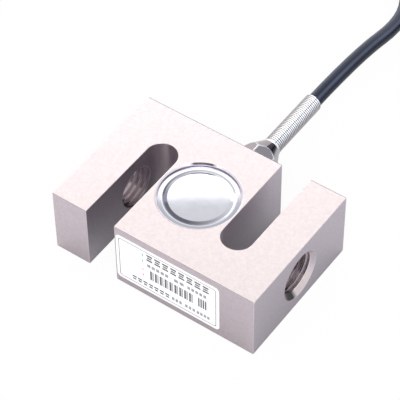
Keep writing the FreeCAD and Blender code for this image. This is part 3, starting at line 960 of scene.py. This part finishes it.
def addLabel():
    low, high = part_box("name_label")
    thick = high.y - low.y
    film = plate("film", low.x, low.z, high.x, high.z, label["corner"], low.y, thick, "label")
    bevelled(film, thick * 0.4)
    inset, ink = label["inset"], label["ink"]
    within = inset + label["line"]
    frameLine = plate("frame", low.x + inset, low.z + inset, high.x - inset, high.z - inset,
                      label["corner"] * 0.6, low.y - ink / 2, ink, "ink")
    hole = plate("hole", low.x + within, low.z + within, high.x - within, high.z - within,
                 label["corner"] * 0.5, low.y - ink * 2, ink * 4, None)
    cut(frameLine, hole)
    marks = []
    for place, (color, count, left, head, wide, tall, pitch) in enumerate(label["marks"]):
        start = Vector((low.x + left + wide / 2, low.y - ink / 2, high.z - head - tall / 2))
        marks.append(grown("marks%d" % place, rowOfBlocks, Count=count, Start=start, Step=(pitch, 0, 0),
                           Size=(wide, ink, tall), Finish=finishes[color]))
    return joined("labelPiece", [film, frameLine] + marks)


labelPiece = addLabel()
print("label laid")

tie = dict(width=0.0036, thick=0.0009, gap=0.0002, angle=-75.0, bend=0.0014,
           headLength=0.0055, headHeight=0.0036, tail=0.007)


def addTie():
    gap = cable["diameter"]
    middle, thick, width = cable["middleTurn"], tie["thick"], tie["width"]
    reach = cable["columns"] * gap / 2 + tie["gap"]
    top = cable["firstHeight"] + 1.5 * gap + tie["gap"]
    bend = tie["bend"]

    def bar(name, outline, wide, finish):
        return prismPiece(name, outline, lambda u, v: Vector((u, -wide / 2, v)), alongY * wide, finish)

    outer = roundedBox(middle - reach - thick, 0, middle + reach + thick, top + thick, bend + thick)
    strap = bar("strap", outer, width, "tie")
    inner = roundedBox(middle - reach, thick, middle + reach, top, bend)
    cut(strap, bar("hole", inner, width * 2, None))
    foot, half = top + thick / 2, tie["headLength"] / 2
    headTop = foot + tie["headHeight"]
    head = bar("head", softened([(middle - half, foot, 0.0002), (middle + half, foot, 0.0002),
                                 (middle + half, headTop, 0.0012), (middle - half, headTop, 0.0006)]),
               width + 2 * thick, "tie")
    endFoot = foot + thick * 1.5
    endTop, back, tip = endFoot + thick, middle - half - 0.001, middle + half + tie["tail"]
    tail = bar("tail", softened([(back, endFoot, 0), (tip, endFoot, 0.0003), (tip, endTop, 0.0005),
                                 (back, endTop, 0)]), width, "tie")
    pieces = [strap, head, tail]
    for piece in pieces:
        bevelled(piece, 0.00012, angle=40)
    teeth = grown("teeth", rowOfBlocks, Count=11, Start=(middle + half + 0.0007, 0, endTop),
                  Step=(0.00055, 0, 0), Size=(0.00022, width * 0.6, 0.0002), Finish=finishes["tie"])
    made = joined("coilTie", pieces + [teeth])
    turn = Matrix.Translation(cable["coilCentre"]) @ Matrix.Rotation(math.radians(tie["angle"]), 4, "Z")
    made.data.transform(turn)
    return smoothed(made)


lead = dict(radius=0.00065, circle=0.00115, length=0.04, spread=0.0045, bare=0.006, strand=0.0002,
            order=("green", "white", "shield", "black", "red"),
            angles=dict(shield=90, green=162, white=234, black=306, red=18))


def addLead(place, color):
    sideways = cableHeading.cross(alongZ).normalized()
    upward = sideways.cross(cableHeading)
    angle = math.radians(lead["angles"][color])
    start = cableEnd + (sideways * math.cos(angle) + upward * math.sin(angle)) * lead["circle"]
    tip = cableEnd + cableHeading * lead["length"] + sideways * (place * lead["spread"])
    tip.z = lead["radius"] + 0.00005
    floorward = Vector((start.x, start.y, tip.z))
    ahead = start.lerp(tip, 0.3) + (start - floorward) * 0.1
    near = floorward.lerp(tip, 0.62)
    points = [start - cableHeading * 0.002, start, ahead, near, tip]
    sleeve = newPiece("sleeve", tubeMesh("sleeve", points, lead["radius"], 3), color)
    heading = (tip - near).normalized()
    side = heading.cross(alongZ).normalized()
    rise = side.cross(heading)
    strands = []
    for i in range(7):
        ring = lead["strand"] * 2 if i else 0
        line = []
        for step in range(9):
            twist = math.radians(60 * i + 40 * step)
            spot = tip + heading * (lead["bare"] * step / 8 - 0.0006)
            line.append(spot + side * ring * math.cos(twist) + rise * ring * math.sin(twist))
        strands.append(newPiece("strand", tubeMesh("strand", line, lead["strand"], 1), "tinned"))
    made = joined("lead" + color.capitalize(), [sleeve] + strands)
    return smoothed(made, 50)


tiePiece = addTie()
leads = {color: addLead(place, color) for place, color in enumerate(lead["order"], -2)}
print("tie and leads made")

kept = dict(cable_root="jacket", bridge_board="board", trim_resistors="chip",
            gauge_top_left="gauge", gauge_top_right="gauge",
            gauge_bottom_left="gauge", gauge_bottom_right="gauge",
            core_red="red", core_black="black", core_green="green", core_white="white")
for node, finish in kept.items():
    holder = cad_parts[node]
    holder.data.materials.clear()
    holder.data.materials.append(finishes[finish])


studio = dict(floorSize=6.0, floorTone=(0.86, 0.86, 0.86), show=0.95, ambient=0.8,
              keyDirection=Vector((-0.388, 0.534, 0.362)), keyDistance=3.3, keySize=(4.8, 2.4),
              keyPower=46.0, fillDirection=Vector((0.5, -0.9, 0.9)), fillDistance=1.4,
              fillSize=(1.0, 1.0), fillPower=10.0)


def seenPlainly(tree):
    # 1 for the rays that show the background: straight to the eye, in metal and through glass
    path = addNode(tree, "ShaderNodeLightPath")
    some = maths(tree, "MAXIMUM", path.outputs["Is Camera Ray"], path.outputs["Is Glossy Ray"])
    return maths(tree, "MAXIMUM", some, path.outputs["Is Transmission Ray"]), path


def addFloor():
    size = studio["floorSize"] / 2
    foot = -0.00005
    corners = [(-size, -size, foot), (size, -size, foot), (size, size, foot), (-size, size, foot)]
    mesh = meshOf("floor", corners, [(0, 1, 2, 3)])
    material, tree, shader = newFinish("paleFloor", studio["floorTone"], 0.0, 0.8)
    out = tree.nodes["Material Output"]
    plain, path = seenPlainly(tree)
    glow = addNode(tree, "ShaderNodeEmission")
    # as metal sees it, the floor's glow is dimmed near the object by ambient occlusion: a painted contact
    # shadow
    shade = addNode(tree, "ShaderNodeAmbientOcclusion")
    shade.inputs["Distance"].default_value = 0.03
    shade.samples = 8
    glossy = maths(tree, "MAXIMUM", path.outputs["Is Glossy Ray"], path.outputs["Is Transmission Ray"])
    dim = maths(tree, "POWER", shade.outputs["AO"], 0.75)
    loss = product(tree, glossy, maths(tree, "SUBTRACT", dim, 1.0))
    wire(tree, maths(tree, "ADD", loss, 1.0), glow.inputs["Strength"])
    mix = addNode(tree, "ShaderNodeMixShader")
    wire(tree, product(tree, plain, studio["show"]), mix.inputs[0])
    wire(tree, shader.outputs[0], mix.inputs[1])
    wire(tree, glow.outputs[0], mix.inputs[2])
    seen = addNode(tree, "ShaderNodeMixShader")
    wire(tree, addNode(tree, "ShaderNodeNewGeometry").outputs["Backfacing"], seen.inputs[0])
    wire(tree, mix.outputs[0], seen.inputs[1])
    wire(tree, addNode(tree, "ShaderNodeBsdfTransparent").outputs[0], seen.inputs[2])
    wire(tree, seen.outputs[0], out.inputs["Surface"])
    finishes["floor"] = material
    floor = newPiece("floor", mesh, "floor")
    return floor


def addWorld():
    world = bpy.data.worlds.new("world")
    bpy.context.scene.world = world
    world.use_nodes = True
    tree = world.node_tree
    plain = seenPlainly(tree)[0]
    back = tree.nodes["Background"]
    back.inputs["Color"].default_value = (1, 1, 1, 1)
    wire(tree, ramp(tree, plain, 0, 1, studio["ambient"], 1.0), back.inputs["Strength"])


def addLamp(name):
    light = bpy.data.lights.new(name, "AREA")
    light.shape = "RECTANGLE"
    light.size, light.size_y = studio[name + "Size"]
    light.energy = studio[name + "Power"]
    lamp = bpy.data.objects.new(name, light)
    direction = studio[name + "Direction"].normalized()
    lamp.location = direction * studio[name + "Distance"]
    lamp.rotation_mode = "QUATERNION"
    lamp.rotation_quaternion = direction.to_track_quat("Z", "Y")
    lamp.visible_camera = False
    bpy.context.scene.collection.objects.link(lamp)


addFloor()
addWorld()
addLamp("key")
addLamp("fill")
bpy.context.scene.view_settings.view_transform = "Standard"

for piece, slot, nodes in (
        [(blockPiece, "plated_steel", ["s_beam"]), (covers[1], "cover_steel", ["top_cover"]),
         (covers[-1], "cover_steel", ["bottom_cover"]), (glandPiece, "gland_nickel", ["gland_body"]),
         (guardPiece, "spring_steel", ["spring_guard"]), (labelPiece, "label_film", ["name_label"]),
         (cableRun, "cable_jacket", ["cable", "cable_coil", "cable_tail"]),
         (tiePiece, "tie_nylon", ["coil_tie"])]
        + [(leads[c], "insulation_" + ("clear" if c == "shield" else c), ["lead_" + c]) for c in leads]):
    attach(piece, "root")
    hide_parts(*nodes)
print("pieces on the frame")
